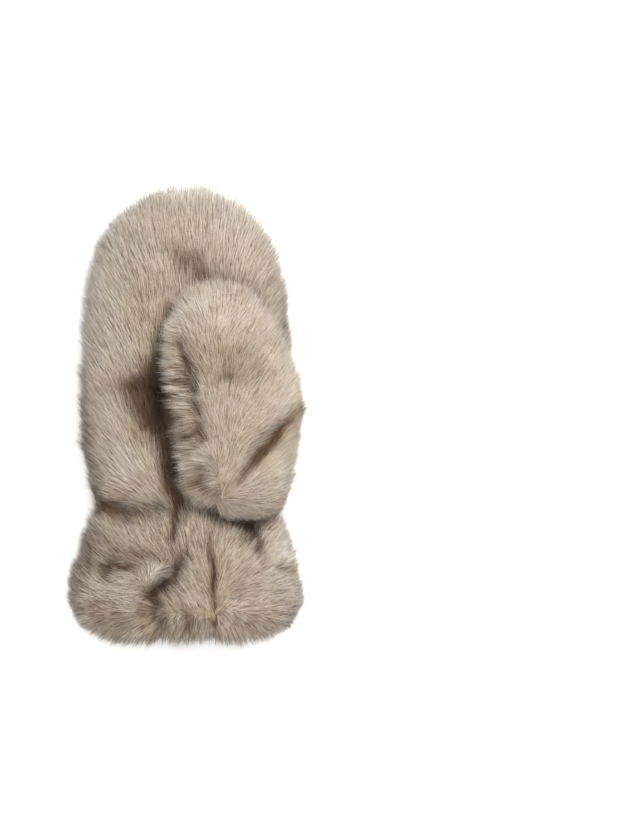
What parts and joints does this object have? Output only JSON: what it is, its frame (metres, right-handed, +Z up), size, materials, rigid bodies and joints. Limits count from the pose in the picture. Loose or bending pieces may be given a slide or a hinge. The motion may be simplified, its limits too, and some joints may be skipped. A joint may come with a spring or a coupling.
{
  "type": "mitten",
  "caption": "Right-hand mitten of deep faux fur with a set-in thumb, gathered wrist and flared cuff with turned-in hem.",
  "frame": {"origin": "centre of the footprint on the surface the mitten lies on, palm up", "axes": "+Y to the fingertips, +X to the thumb's side of the palm, +Z up out of the palm"},
  "size_m": [0.1432, 0.2797, 0.0674],
  "materials": {
    "faux_fur": "deep soft pile, pale tips over brown roots",
    "knit_backing": "plain knit, matte"
  },
  "bodies": {
    "root": {"hand_back": "faux_fur", "hand_palm": "faux_fur", "thumb_outer": "faux_fur", "thumb_inner": "faux_fur", "cuff_back": "faux_fur", "cuff_palm_left": "faux_fur", "cuff_palm_right": "faux_fur", "cuff_hem": "faux_fur"}
  },
  "joints": []
}
